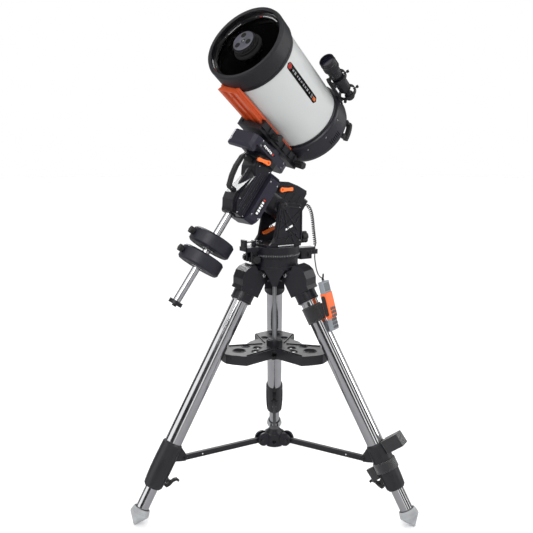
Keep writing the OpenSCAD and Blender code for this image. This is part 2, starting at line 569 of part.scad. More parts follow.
// Finder: 50 mm straight-through finder in a two-ring bracket on the rear cell
module finder_axis() ota() rotate([0, 0, -41]) translate([211, 0, 0]) children();
module finder_bracket() color("#141416") difference() {
    finder_axis() {
        difference() {
            union() {
                for (z = [-92, 6]) ring(36, 31, z, z + 14);
                box([-44, -11, -104], [-33, 11, 26]);
                for (z = [-92, 6]) box([-44, -9, z], [-31, 9, z + 14]);
                box([-58, -18, -110], [-38, 18, -74]);
            }
            for (z = [-92, 6]) cyl_z(31, z - 1, z + 15, 96);
        }
        for (z = [-85, 13], a = [60, 180, 300]) rotate([0, 0, a + 60]) translate([0, 0, z]) {
            cyl_x(2.5, 25.6, 44, 24);
            cyl_x(6, 40, 50, 24);
        }
    }
    ota() cyl_z(cell_r + 0.1, -200, -60, 128);
    ota() cyl_z(tube_r + 0.5, -70, 318, 128);
}
module finder_scope() color("#0f0f11") finder_axis() rotate_extrude($fn = 96) polygon([[0, -122],
    [14, -122], [18, -118], [18, -96], [14, -92], [14, -70], [17, -66], [25.4, -50], [25.4, 62],
    [29, 66], [31, 70], [31, 118], [27, 118], [27, 110], [0, 110]]);

tripod_hub();
hinge_bolts();
knuckles();
leg_tubes();
leg_clamps();
lower_leg_n();
lower_leg_w();
lower_leg_e();
foot_n();
foot_w();
foot_e();
leg_lock_n();
leg_lock_w();
leg_lock_e();
spreader_hub();
spreader_arms();
centre_rod();
accessory_tray();
tray_knob();
leg_straps();
hand_controller();
cord_lower();
azimuth_base();
azimuth_knob_w();
azimuth_knob_e();
fork_cheeks();
altitude_knob();
altitude_lock();
cord_coil();
cord_plug();
ra_housing();
ra_clutch();
ra_cover();
dec_housing();
carry_handle();
dec_clutch();
weight_shaft();
shaft_stop();
counterweight_upper();
counterweight_lower();
weight_knob_upper();
weight_knob_lower();
dec_head();
saddle();
saddle_jaw();
saddle_knob_front();
saddle_knob_rear();
dovetail_bar();
optical_tube();
front_cell();
corrector_plate();
secondary_holder();
rear_cell();
rear_handle();
focus_knob();
primary_mirror();
baffle_tube();
visual_back();
finder_bracket();
finder_scope();
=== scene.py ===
import json
import math

import bmesh
import bpy
from mathutils import Matrix, Vector


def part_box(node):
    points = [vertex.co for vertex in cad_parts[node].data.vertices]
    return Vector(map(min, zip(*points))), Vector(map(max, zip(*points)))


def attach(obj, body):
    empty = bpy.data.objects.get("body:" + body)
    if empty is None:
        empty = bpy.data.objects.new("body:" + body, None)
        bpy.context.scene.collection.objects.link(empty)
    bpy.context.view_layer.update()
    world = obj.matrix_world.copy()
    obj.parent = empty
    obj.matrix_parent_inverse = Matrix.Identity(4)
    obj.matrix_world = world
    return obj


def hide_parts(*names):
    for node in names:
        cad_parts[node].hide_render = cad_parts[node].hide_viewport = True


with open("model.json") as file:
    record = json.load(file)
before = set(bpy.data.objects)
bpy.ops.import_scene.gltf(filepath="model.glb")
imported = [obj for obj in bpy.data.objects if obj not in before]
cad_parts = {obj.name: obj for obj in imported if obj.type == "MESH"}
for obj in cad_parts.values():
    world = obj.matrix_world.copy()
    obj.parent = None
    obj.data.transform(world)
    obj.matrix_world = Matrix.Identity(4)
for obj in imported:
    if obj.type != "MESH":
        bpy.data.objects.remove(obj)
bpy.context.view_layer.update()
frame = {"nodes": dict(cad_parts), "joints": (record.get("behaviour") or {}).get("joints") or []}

J = {j["name"]: j for j in frame["joints"]}
NODES = frame["nodes"]
MM = 0.001


# ---------------------------------------------------------------- frames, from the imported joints
def basis(origin, x, z):
    x, z = Vector(x).normalized(), Vector(z).normalized()
    y = z.cross(x)
    m = Matrix((x, y, z)).transposed().to_4x4()
    m.translation = Vector(origin)
    return m


pivot = Vector(J["altitude_turn"]["pos_m"])
turn = Vector(J["azimuth_turn"]["pos_m"])
TRI = Matrix.Translation((turn.x, 0, 0))
HUB = turn.z / MM
PIVOT = pivot.z / MM
POLAR = basis(J["ra_turn"]["pos_m"], J["dec_turn"]["axis"], J["ra_turn"]["axis"])
DEC = basis(J["ra_turn"]["pos_m"], J["dec_turn"]["axis"], J["mirror_slide"]["axis"])
OTA = DEC @ Matrix.Translation((368 * MM, 0, 0))


def leg_frame(k):
    x = Vector(J["leg_lock_%s_turn" % k]["axis"])
    z = -Vector(J["leg_%s_slide" % k]["axis"])
    origin = Vector(J["leg_lock_%s_turn" % k]["pos_m"]) + 0.05 * x + 0.88 * z
    return basis(origin, x, z)


LEG = {k: leg_frame(k) for k in "nwe"}
ARMS = (180, -60, 60)  # azimuth of each leg, degrees
HANDSET = LEG["w"] @ Matrix.Translation((77 * MM, 0, -152 * MM)) @ Matrix.Rotation(math.radians(13.5), 4, "Y")
FINDER = OTA @ Matrix.Rotation(math.radians(-41), 4, "Z") @ Matrix.Translation((211 * MM, 0, 0))

# ---------------------------------------------------------------- camera
cam_data = bpy.data.cameras.new("camera")
cam_data.sensor_width = 36
cam_data.lens = 45.81
cam_data.clip_end = 200
camera = bpy.data.objects.new("camera", cam_data)
bpy.context.scene.collection.objects.link(camera)
camera.location = (turn.x - 1.4032, -2.4312, 1.4636)
camera.rotation_euler = Vector((0.48253, 0.85986, -0.16677)).to_track_quat("-Z", "Y").to_euler()
bpy.context.scene.camera = camera
bpy.context.scene.view_settings.view_transform = "Standard"


# ---------------------------------------------------------------- materials
def new_material(name):
    m = bpy.data.materials.new(name)
    m.use_nodes = True
    n, l = m.node_tree.nodes, m.node_tree.links
    n.clear()
    out = n.new("ShaderNodeOutputMaterial")
    p = n.new("ShaderNodeBsdfPrincipled")
    l.new(p.outputs[0], out.inputs[0])
    return m, n, l, p


def surface(name, col, rough, metal=0.0, coat=0.0, mottle=14, vary=0.14, grain=1400, bump=0.12,
            depth=0.0004, stretch=(1, 1, 1), edge=0.0012, sheen=0.0, wear=0.0, kind="noise", matrix=None):
    """Painted, moulded or machined surface: mottled colour, uneven gloss, fine grain and soft edges."""
    m, n, l, p = new_material(name)
    tc = n.new("ShaderNodeTexCoord")
    mp = n.new("ShaderNodeMapping")
    if matrix is not None:
        inv = matrix.inverted()
        mp.inputs["Rotation"].default_value = inv.to_euler()
        mp.inputs["Location"].default_value = inv.translation
        mp2 = n.new("ShaderNodeMapping")
        mp2.inputs["Scale"].default_value = stretch
        l.new(tc.outputs["Object"], mp.inputs[0])
        l.new(mp.outputs[0], mp2.inputs[0])
        co = mp2.outputs[0]
    else:
        mp.inputs["Scale"].default_value = stretch
        l.new(tc.outputs["Object"], mp.inputs[0])
        co = mp.outputs[0]
    big = n.new("ShaderNodeTexNoise")
    big.inputs["Scale"].default_value = mottle
    big.inputs["Detail"].default_value = 5
    l.new(co, big.inputs["Vector"])
    ramp = n.new("ShaderNodeValToRGB")
    ramp.color_ramp.elements[0].position = 0.3
    ramp.color_ramp.elements[1].position = 0.72
    ramp.color_ramp.elements[0].color = [c * (1 - vary) for c in col[:3]] + [1]
    ramp.color_ramp.elements[1].color = [min(1, c * (1 + vary)) for c in col[:3]] + [1]
    l.new(big.outputs["Fac"], ramp.inputs[0])
    colour = ramp.outputs[0]
    if kind == "weave":
        fine = n.new("ShaderNodeTexWave")
        fine.inputs["Scale"].default_value = grain
        fine.inputs["Distortion"].default_value = 0.4
        height = fine.outputs["Fac"]
    elif kind == "cells":
        fine = n.new("ShaderNodeTexVoronoi")
        fine.inputs["Scale"].default_value = grain
        height = fine.outputs["Distance"]
    else:
        fine = n.new("ShaderNodeTexNoise")
        fine.inputs["Scale"].default_value = grain
        fine.inputs["Detail"].default_value = 3
        height = fine.outputs["Fac"]
    l.new(co, fine.inputs["Vector"])
    mr = n.new("ShaderNodeMapRange")
    mr.inputs["To Min"].default_value = max(0.03, rough - 0.07)
    mr.inputs["To Max"].default_value = min(1, rough + 0.09)
    l.new(big.outputs["Fac"], mr.inputs["Value"])
    l.new(mr.outputs[0], p.inputs["Roughness"])
    bp = n.new("ShaderNodeBump")
    bp.inputs["Strength"].default_value = bump
    bp.inputs["Distance"].default_value = depth
    l.new(height, bp.inputs["Height"])
    if edge:
        bv = n.new("ShaderNodeBevel")
        bv.samples = 4
        bv.inputs["Radius"].default_value = edge
        l.new(bv.outputs[0], bp.inputs["Normal"])
        if wear:
            geo = n.new("ShaderNodeNewGeometry")
            dot = n.new("ShaderNodeVectorMath")
            dot.operation = "DOT_PRODUCT"
            l.new(geo.outputs["True Normal"], dot.inputs[0])
            l.new(bv.outputs[0], dot.inputs[1])
            wr = n.new("ShaderNodeMapRange")
            wr.inputs["From Min"].default_value = 0.985
            wr.inputs["From Max"].default_value = 0.80
            wr.inputs["To Max"].default_value = wear
            l.new(dot.outputs["Value"], wr.inputs["Value"])
            mx = n.new("ShaderNodeMix")
            mx.data_type = "RGBA"
            mx.inputs["B"].default_value = [min(1, c * 2.2 + 0.05) for c in col[:3]] + [1]
            l.new(wr.outputs[0], mx.inputs["Factor"])
            l.new(colour, mx.inputs["A"])
            colour = mx.outputs["Result"]
    l.new(bp.outputs[0], p.inputs["Normal"])
    l.new(colour, p.inputs["Base Color"])
    p.inputs["Metallic"].default_value = metal
    p.inputs["Coat Weight"].default_value = coat
    p.inputs["Coat Roughness"].default_value = 0.18
    p.inputs["Sheen Weight"].default_value = sheen
    return m


def zone(m, matrix, test, col, rough):
    """Gives another colour to the part of a node where a measure in a local frame passes a limit."""
    n, l = m.node_tree.nodes, m.node_tree.links
    p = next(x for x in n if x.type == "BSDF_PRINCIPLED")
    tc = n.new("ShaderNodeTexCoord")
    axis = (matrix.to_3x3() @ Vector((0, 0, 1))).normalized()
    sub = n.new("ShaderNodeVectorMath")
    sub.operation = "SUBTRACT"
    sub.inputs[1].default_value = matrix.translation
    l.new(tc.outputs["Object"], sub.inputs[0])
    cr = n.new("ShaderNodeVectorMath")
    kind, limit = test
    cr.operation = "CROSS_PRODUCT" if kind == "inside" else "DOT_PRODUCT"
    cr.inputs[1].default_value = axis
    l.new(sub.outputs[0], cr.inputs[0])
    if kind == "inside":
        ln = n.new("ShaderNodeVectorMath")
        ln.operation = "LENGTH"
        l.new(cr.outputs[0], ln.inputs[0])
        value = ln.outputs["Value"]
    else:
        ab = n.new("ShaderNodeMath")
        ab.operation = "ABSOLUTE" if kind == "beyond" else "ADD"
        ab.inputs[1].default_value = 0
        l.new(cr.outputs["Value"], ab.inputs[0])
        value = ab.outputs[0]
    cmp = n.new("ShaderNodeMath")
    cmp.operation = "LESS_THAN" if kind == "inside" else "GREATER_THAN"
    cmp.inputs[1].default_value = limit
    l.new(value, cmp.inputs[0])
    for sock, val in (("Base Color", col), ("Roughness", rough)):
        old = p.inputs[sock].links[0].from_socket
        mx = n.new("ShaderNodeMix")
        mx.data_type = "RGBA" if sock == "Base Color" else "FLOAT"
        b = [s for s in mx.inputs if s.name == "B" and s.enabled][0]
        a = [s for s in mx.inputs if s.name == "A" and s.enabled][0]
        b.default_value = list(col) + [1] if sock == "Base Color" else val
        l.new(cmp.outputs[0], mx.inputs["Factor"])
        l.new(old, a)
        l.new([s for s in mx.outputs if s.enabled][0], p.inputs[sock])
    return m


def glass(name, col, ior=1.5):
    m, n, l, p = new_material(name)
    tc = n.new("ShaderNodeTexCoord")
    nz = n.new("ShaderNodeTexNoise")
    nz.inputs["Scale"].default_value = 30
    l.new(tc.outputs["Object"], nz.inputs["Vector"])
    mr = n.new("ShaderNodeMapRange")
    mr.inputs["To Min"].default_value = 0.0
    mr.inputs["To Max"].default_value = 0.03
    l.new(nz.outputs["Fac"], mr.inputs["Value"])
    l.new(mr.outputs[0], p.inputs["Roughness"])
    p.inputs["Base Color"].default_value = list(col) + [1]
    p.inputs["Transmission Weight"].default_value = 1
    p.inputs["IOR"].default_value = ior
    return m


CAST = dict(mottle=10, grain=1500, bump=0.22, depth=0.0003, edge=0.0022, wear=0.35)
PLAST = dict(mottle=22, grain=2200, bump=0.18, depth=0.00025, edge=0.001)
M = {
    "casting": surface("casting", (0.006, 0.006, 0.010), 0.36, 0.1, 0.2, **CAST),
    "hub": surface("hub_paint", (0.007, 0.007, 0.011), 0.34, 0.1, 0.25, **CAST),
    "cover": surface("cover_paint", (0.017, 0.016, 0.030), 0.38, 0.2, 0.2, **CAST),
    "black": surface("black_paint", (0.007, 0.007, 0.010), 0.4, 0.1, 0.1, **CAST),
    "cell": surface("cell_paint", (0.008, 0.008, 0.011), 0.5, 0.0, 0.05, kind="cells", mottle=12, grain=900,
                    bump=0.3, depth=0.0003, edge=0.0015, wear=0.25),
    "gloss": surface("gloss_black", (0.006, 0.006, 0.007), 0.12, 0.0, 0.8, bump=0.02, edge=0.0006),
    "flat": surface("flat_black", (0.004, 0.004, 0.004), 0.85, bump=0.25, edge=0, vary=0.3),
    "weight": surface("weight_paint", (0.011, 0.0115, 0.019), 0.46, 0.1, 0.05, kind="cells", mottle=9, grain=700,
                      bump=0.35, depth=0.0004, edge=0.002, wear=0.3),
    "knob": surface("knob_plastic", (0.012, 0.012, 0.013), 0.5, coat=0.05, **PLAST),
    "tray": surface("tray_plastic", (0.010, 0.010, 0.013), 0.36, coat=0.15, **PLAST),
    "clamp": surface("clamp_plastic", (0.012, 0.012, 0.015), 0.42, coat=0.1, **PLAST),
    "steel": surface("bright_steel", (0.6, 0.6, 0.62), 0.22, 1.0, vary=0.06, bump=0.05, edge=0.0005),
    "disc": surface("disc_grey", (0.10, 0.10, 0.125), 0.45, 0.5, 0.1, vary=0.08, bump=0.08, edge=0.0008),
    "silver": surface("silver_alloy", (0.5, 0.51, 0.52), 0.3, 1.0, vary=0.08, bump=0.08, edge=0.0008),
    "bar": surface("orange_anodised", (0.56, 0.075, 0.014), 0.36, 0.25, 0.2, mottle=20, vary=0.1, grain=500,
                   bump=0.1, depth=0.0002, stretch=(1, 1, 0.05), edge=0.0008, wear=0.25, matrix=DEC),
    "lever": surface("orange_plastic", (0.84, 0.15, 0.015), 0.38, coat=0.3, vary=0.06, bump=0.06, edge=0.0018),
    "grip": surface("rubber_grip", (0.016, 0.016, 0.017), 0.68, kind="cells", grain=420, bump=0.5, depth=0.0006,
                    edge=0.001),
    "rubber": surface("foot_rubber", (0.33, 0.34, 0.35), 0.75, kind="cells", mottle=18, vary=0.2, grain=350,
                      bump=0.4, depth=0.0005, edge=0.002),
    "cord": surface("cord_rubber", (0.010, 0.010, 0.011), 0.5, mottle=40, bump=0.15, edge=0),
    "strap": surface("strap_weave", (0.012, 0.012, 0.014), 0.9, kind="weave", grain=260, bump=0.7, depth=0.0006,
                     edge=0.0008, sheen=0.4),
    "white": surface("label_white", (0.75, 0.76, 0.77), 0.4, bump=0.03, vary=0.04, edge=0),
    "dash": surface("label_grey", (0.42, 0.43, 0.45), 0.4, bump=0.03, vary=0.05, edge=0),
    "red": surface("label_red", (0.55, 0.03, 0.02), 0.35, bump=0.03, vary=0.08, edge=0),
    "patch": surface("label_orange", (0.75, 0.2, 0.05), 0.35, bump=0.03, vary=0.08, edge=0),
    "key": surface("key_rubber", (0.09, 0.095, 0.10), 0.6, bump=0.1, edge=0.0008),
    "screen": surface("screen", (0.03, 0.045, 0.05), 0.12, coat=0.6, bump=0.01, edge=0),
    "lens": surface("coated_lens", (0.004, 0.004, 0.010), 0.1, coat=0.3, bump=0.0, vary=0.3, edge=0),
    "glass": glass("corrector_glass", (0.80, 0.84, 0.83), 1.18),
}
for k in "nwe":
    M["leg_" + k] = surface("leg_steel_" + k, (0.70, 0.70, 0.715), 0.13, 1.0, vary=0.05, mottle=30, grain=240,
                            bump=0.05, depth=0.0002, stretch=(1, 1, 0.03), edge=0, matrix=LEG[k])
M["shaft"] = surface("shaft_steel", (0.70, 0.70, 0.72), 0.12, 1.0, vary=0.05, mottle=30, grain=240, bump=0.05,
                     depth=0.0002, stretch=(0.03, 1, 1), edge=0, matrix=POLAR)
M["tube"] = zone(surface("tube_paint", (0.455, 0.468, 0.465), 0.38, 0.0, 0.2, mottle=5, vary=0.025, grain=2600,
                         bump=0.06, depth=0.0002, edge=0), OTA, ("inside", 0.1515), (0.004, 0.004, 0.004), 0.85)
M["rear"] = zone(surface("rear_paint", (0.012, 0.012, 0.018), 0.45, 0.1, 0.15, **CAST), OTA, ("inside", 0.1502),
                 (0.017, 0.017, 0.022), 0.5)
M["front"] = zone(surface("front_paint", (0.008, 0.008, 0.011), 0.5, 0.0, 0.05, kind="cells", mottle=12, grain=900,
                          bump=0.3, depth=0.0003, edge=0.0015, wear=0.25), OTA, ("inside", 0.1462),
                  (0.006, 0.006, 0.007), 0.15)
M["mirror"] = surface("aluminised_mirror", (0.88, 0.9, 0.91), 0.05, 1.0, vary=0.01, bump=0.0, edge=0)
M["handset"] = zone(surface("handset_orange", (0.78, 0.12, 0.015), 0.42, coat=0.2, vary=0.06, bump=0.12,
                            grain=1800, edge=0.002), HANDSET, ("beyond", 0.0525), (0.20, 0.22, 0.24), 0.45)

# material of each CAD node
NODE_MATERIAL = {
    "hub": "tripod_hub knuckles spreader_hub", "casting": "azimuth_base fork_cheeks ra_housing dec_housing",
    "cover": "ra_cover dec_head", "black": "saddle saddle_jaw shaft_stop finder_scope finder_bracket",
    "silver": "visual_back hinge_bolts centre_rod", "weight": "counterweight_upper counterweight_lower",
    "bar": "dovetail_bar", "lever": "ra_clutch dec_clutch altitude_lock",
    "knob": "leg_lock_n leg_lock_w leg_lock_e tray_knob azimuth_knob_w azimuth_knob_e altitude_knob"
            " weight_knob_upper weight_knob_lower saddle_knob_front saddle_knob_rear focus_knob",
    "clamp": "leg_clamps spreader_arms", "tray": "accessory_tray", "tube": "optical_tube", "glass": "corrector_plate",
    "mirror": "primary_mirror", "rubber": "foot_n foot_w foot_e", "strap": "leg_straps", "handset": "hand_controller",
    "cord": "cord_lower cord_coil cord_plug", "grip": "carry_handle rear_handle", "front": "front_cell",
    "rear": "rear_cell", "flat": "baffle_tube secondary_holder", "shaft": "weight_shaft",
    "leg_n": "lower_leg_n", "leg_w": "lower_leg_w leg_tubes", "leg_e": "lower_leg_e",
}
for mat, names in NODE_MATERIAL.items():
    for name in names.split():
        data = NODES[name].data
        if not NODES[name].material_slots:
            data.materials.append(M[mat])
        for s in NODES[name].material_slots:
            s.material = M[mat]


# ---------------------------------------------------------------- mesh helpers, sizes in millimetres
def add(name, bm, mat, body, matrix, smooth=40, bevel=0.0, seg=2):
    if bevel:
        edges = [e for e in bm.edges if len(e.link_faces) == 2 and e.calc_face_angle(0) > 0.5]
        bmesh.ops.bevel(bm, geom=edges, offset=bevel, segments=seg, profile=0.5, affect="EDGES",
                        clamp_overlap=True)
    bmesh.ops.recalc_face_normals(bm, faces=bm.faces[:])
    bm.transform(matrix @ Matrix.Diagonal((MM, MM, MM, 1)))
    me = bpy.data.meshes.new(name)
    bm.to_mesh(me)
    bm.free()
    me.materials.append(M[mat])
    if smooth:
        me.shade_smooth()
        me.set_sharp_from_angle(angle=math.radians(smooth))
    o = bpy.data.objects.new(name, me)
    bpy.context.scene.collection.objects.link(o)
    if body:
        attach(o, body)
    return o


def prism(bm, poly, z0, z1, at=None):
    at = at or Matrix.Identity(4)
    lo = [bm.verts.new(at @ Vector((x, y, z0))) for x, y in poly]
    hi = [bm.verts.new(at @ Vector((x, y, z1))) for x, y in poly]
    n = len(poly)
    bm.faces.new(lo[::-1])
    bm.faces.new(hi)
    for i in range(n):
        bm.faces.new((lo[i], lo[(i + 1) % n], hi[(i + 1) % n], hi[i]))


def brick(bm, a, b, at=None):
    prism(bm, [(a[0], a[1]), (b[0], a[1]), (b[0], b[1]), (a[0], b[1])], a[2], b[2], at)


def lathe(bm, prof, seg=64, at=None, closed=True):
    at = at or Matrix.Identity(4)
    rows = []
    for r, z in prof:
        if r < 1e-6:
            rows.append([bm.verts.new(at @ Vector((0, 0, z)))])
        else:
            turns = [2 * math.pi * i / seg for i in range(seg)]
            rows.append([bm.verts.new(at @ Vector((r * math.cos(a), r * math.sin(a), z))) for a in turns])
    pairs = list(zip(rows, rows[1:])) + ([(rows[-1], rows[0])] if closed else [])
    for a, b in pairs:
        if len(a) == 1 and len(b) == 1:
            continue
        for i in range(seg):
            k = (i + 1) % seg
            if len(a) == 1:
                bm.faces.new((a[0], b[k], b[i]))
            elif len(b) == 1:
                bm.faces.new((a[i], a[k], b[0]))
            else:
                bm.faces.new((a[i], a[k], b[k], b[i]))


def pill(x0, x1, y0, y1, n=8):
    r = min(x1 - x0, y1 - y0) / 2
    if x1 - x0 > y1 - y0:
        ends = [((x1 - r, (y0 + y1) / 2), -90), ((x0 + r, (y0 + y1) / 2), 90)]
    else:
        ends = [(((x0 + x1) / 2, y1 - r), 0), (((x0 + x1) / 2, y0 + r), 180)]
    out = []
    for (cx, cy), a0 in ends:
        for i in range(n + 1):
            a = math.radians(a0 + 180 * i / n)
            out.append((cx + r * math.cos(a), cy + r * math.sin(a)))
    return out


def rot(axis, deg):
    return Matrix.Rotation(math.radians(deg), 4, axis)


def shift(x, y, z):
    return Matrix.Translation((x, y, z))


def near_face(y):
    """Frame on a face that looks along -Y: first axis X, second axis Z, out is -Y."""
    return Matrix(((1, 0, 0, 0), (0, 0, -1, y), (0, 1, 0, 0), (0, 0, 0, 1)))


def far_face(y):
    """The same on a face that looks along +Y."""
    return Matrix(((1, 0, 0, 0), (0, 0, 1, y), (0, 1, 0, 0), (0, 0, 0, 1)))


def side_face(s, y):
    """The near face for s = -1 or the far face for s = 1, both at distance y."""
    return near_face(-y) if s < 0 else far_face(y)


def strip(bm, a, b, half, height, at):
    """Straight raised bar from a to b on a face."""
    d = Vector((b[0] - a[0], b[1] - a[1]))
    n = Vector((-d.y, d.x)).normalized() * half
    poly = [(a[0] + n.x, a[1] + n.y), (a[0] - n.x, a[1] - n.y), (b[0] - n.x, b[1] - n.y), (b[0] + n.x, b[1] + n.y)]
    prism(bm, poly, 0, height, at)


SWAP_XY = Matrix(((0, 1, 0, 0), (1, 0, 0, 0), (0, 0, 1, 0), (0, 0, 0, 1)))


def screw_heads(name, spots, matrix, body, r=3.2, h=1.4, mat="steel"):
    """Socket screws; each spot is a point and its outward direction."""
    bm = bmesh.new()
    head = [(0, -0.5), (r, -0.5), (r, h * 0.7), (r * 0.85, h), (r * 0.5, h), (r * 0.45, h * 0.4), (0, h * 0.4)]
    for p, d in spots:
        at = shift(*p) @ Vector((0, 0, 1)).rotation_difference(Vector(d)).to_matrix().to_4x4()
        lathe(bm, head, 20, at, False)
    return add(name, bm, mat, body, matrix)


def tube_mesh(name, pts, r, mat, body, sides=10):
    """Mesh tube through points in metres, ends closed."""
    bm = bmesh.new()
    rings = []
    side = None
    for i, p in enumerate(pts):
        t = (pts[min(i + 1, len(pts) - 1)] - pts[max(i - 1, 0)]).normalized()
        if side is None:
            side = t.orthogonal().normalized()
        side = (side - t * side.dot(t)).normalized()
        up = t.cross(side)
        rings.append([bm.verts.new(p + r * (side * math.cos(2 * math.pi * k / sides)
                                            + up * math.sin(2 * math.pi * k / sides))) for k in range(sides)])
    for a, b in zip(rings, rings[1:]):
        for k in range(sides):
            bm.faces.new((a[k], a[(k + 1) % sides], b[(k + 1) % sides], b[k]))
    bm.faces.new(rings[0][::-1])
    bm.faces.new(rings[-1])
    return add(name, bm, mat, body, Matrix.Diagonal((1 / MM, 1 / MM, 1 / MM, 1)))


def spline(points, step):
    """Catmull-Rom curve through the points, resampled at even steps."""
    P = [Vector(p) for p in points]
    dense = []
    for i in range(len(P) - 1):
        a, b, c, d = P[max(i - 1, 0)], P[i], P[i + 1], P[min(i + 2, len(P) - 1)]
        for k in range(24):
            t = k / 24
            dense.append(0.5 * (2 * b + (c - a) * t + (2 * a - 5 * b + 4 * c - d) * t * t
                                + (3 * b - a - 3 * c + d) * t * t * t))
    dense.append(P[-1])
    total = sum((q - p).length for p, q in zip(dense, dense[1:]))
    n = max(2, round(total / step))
    out, want, run = [dense[0]], total / n, 0.0
    for p, q in zip(dense, dense[1:]):
        seg = (q - p).length
        while run + seg >= want * len(out) and len(out) < n:
            out.append(p.lerp(q, (want * len(out) - run) / seg))
        run += seg
    out.append(dense[-1])
    return out


def length_of(pts):
    return sum((q - p).length for p, q in zip(pts, pts[1:]))


# ---------------------------------------------------------------- cords
coil_line = [(turn.x + x, y, z) for x, y, z in (
    (0.1395, 0, 1.2470), (0.1505, 0, 1.2425), (0.168, 0, 1.232), (0.181, 0, 1.205), (0.188, 0, 1.170),
    (0.193, 0, 1.130), (0.198, 0, 1.095), (0.201, 0, 1.072), (0.201, 0, 1.052))]
mid = spline(coil_line, 0.0005)
total = length_of(mid)
COIL_R, WIRE, PITCH = 0.0056, 0.0050, 0.0095
coil_pts = []
run = 0.0
for i, p in enumerate(mid):
    t = (mid[min(i + 1, len(mid) - 1)] - mid[max(i - 1, 0)]).normalized()
    side = Vector((0, 1, 0))
    up = t.cross(side)
    ease = max(0.0, min(1.0, (run - 0.012) / 0.012, (total - 0.008 - run) / 0.012))
    a = 2 * math.pi * run / PITCH
    coil_pts.append(p + COIL_R * ease * (side * math.cos(a) + up * math.sin(a)))
    if i + 1 < len(mid):
        run += (mid[i + 1] - p).length
coil = tube_mesh("coiled_cord", coil_pts, WIRE / 2, "cord", "azimuth", 8)
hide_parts("cord_coil")

lower_line = [(turn.x + x, y, z) for x, y, z in (
    (0.201, 0, 1.0295), (0.201, 0, 1.010), (0.203, -0.003, 0.985), (0.203, -0.012, 0.960), (0.196, -0.038, 0.942),
    (0.180, -0.085, 0.938), (0.155, -0.135, 0.950), (0.130, -0.172, 0.972), (0.115, -0.191, 0.972),
    (0.1126, -0.1949, 0.9566))]
lower_pts = spline(lower_line, 0.004)
lower = tube_mesh("handset_cord", lower_pts, 0.0025, "cord", "tripod", 10)
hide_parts("cord_lower")

# ---------------------------------------------------------------- optical tube
def tube_patch(name, mat, a0, z0, z1, half, R, square=False):
    """Thin label piece curved round the tube: stadium or rectangle, half-width in mm."""
    bm = bmesh.new()
    rows = []
    n = 28 if not square else 2
    for i in range(n + 1):
        z = z0 + (z1 - z0) * i / n
        if square:
            w = half
        else:
            e = min(z - z0, z1 - z)
            w = half if e >= half else math.sqrt(max(0.02, half * half - (half - e) ** 2))
        turns = [math.radians(a0) + w * t / R for t in (-1, -0.66, -0.33, 0, 0.33, 0.66, 1)]
        rows.append([bm.verts.new((R * math.cos(a), R * math.sin(a), z)) for a in turns])
    for a, b in zip(rows, rows[1:]):
        for k in range(6):
            bm.faces.new((a[k], a[k + 1], b[k + 1], b[k]))
    bmesh.ops.solidify(bm, geom=bm.faces[:], thickness=0.25)
    return add(name, bm, mat, "dec", OTA)


LABEL_AT, PLATE_R, PRINT_R = -88, 152.9, 153.3
tube_patch("label_plate", "gloss", LABEL_AT, 64, 298, 14, PLATE_R)
tube_patch("label_dot", "red", LABEL_AT, 271, 293, 10.5, PRINT_R)
tube_patch("label_end", "patch", LABEL_AT, 72, 92, 6.5, PRINT_R, True)
for i in range(9):
    z = 118 + i * 16.4
    long, half = 10 if i % 3 else 7, 4.6 if i % 2 else 3.4
    tube_patch("label_dash_%d" % i, "dash", LABEL_AT, z, z + long, half, PRINT_R, True)
for i, z in enumerate((98, 104)):
    tube_patch("label_bar_%d" % i, "dash", LABEL_AT, z, z + 3, 8, PRINT_R, True)

# front cell: gloss lining ring with small marks, retaining ring with its screws
bm = bmesh.new()
lathe(bm, [(145.7, 367.2), (145.7, 392), (145.2, 392.5), (144.6, 391), (144.6, 369), (141.5, 368.2), (134, 368.2),
           (134, 367.2)], 128)
add("lining_ring", bm, "gloss", "dec", OTA)
for name, mat, flat, wall in (
        ("ring_marks", "white", ((-28, 8, 3.2, 2.1), (48, 75, 2.4, 1.1)),
         ((128, 147, 2.7, 2), (159, 172, 2.6, 2))),
        ("ring_marks_red", "red", ((9.5, 13.5, 2, 1.9),), ((150, 157, 2.3, 2.3),))):
    bm = bmesh.new()
    for a0, a1, step, half in flat:
        for i in range(int((a1 - a0) / step)):
            brick(bm, (136, -half, 368.1), (140 - i % 2, half, 368.5), rot("Z", a0 + (i + 0.5) * step))
    for a0, a1, step, half in wall:
        for i in range(int((a1 - a0) / step)):
            brick(bm, (144.0, -half, 378), (144.7, half, 386 - i % 2), rot("Z", a0 + (i + 0.5) * step))
    add(name, bm, mat, "dec", OTA)
screw_heads("ring_screws", [((139.5 * math.cos(a), 139.5 * math.sin(a), 368.4), (0, 0, 1))
                            for a in (math.radians(20 + 60 * i) for i in range(6))], OTA, "dec", 2.4, 1.2)
bm = bmesh.new()
lathe(bm, [(152.62, 306), (155.4, 306), (155.8, 308), (155.8, 317.5), (152.62, 317.5)], 128)
add("front_band", bm, "cell", "dec", OTA)
screw_heads("cell_screws", [((161.5 * math.cos(a), 161.5 * math.sin(a), 336), (math.cos(a), math.sin(a), 0))
                            for a in (math.radians(15 + 30 * i) for i in range(12))
                            if abs(math.degrees(a) - 180) > 25], OTA, "dec", 2.6, 0.9, "black")

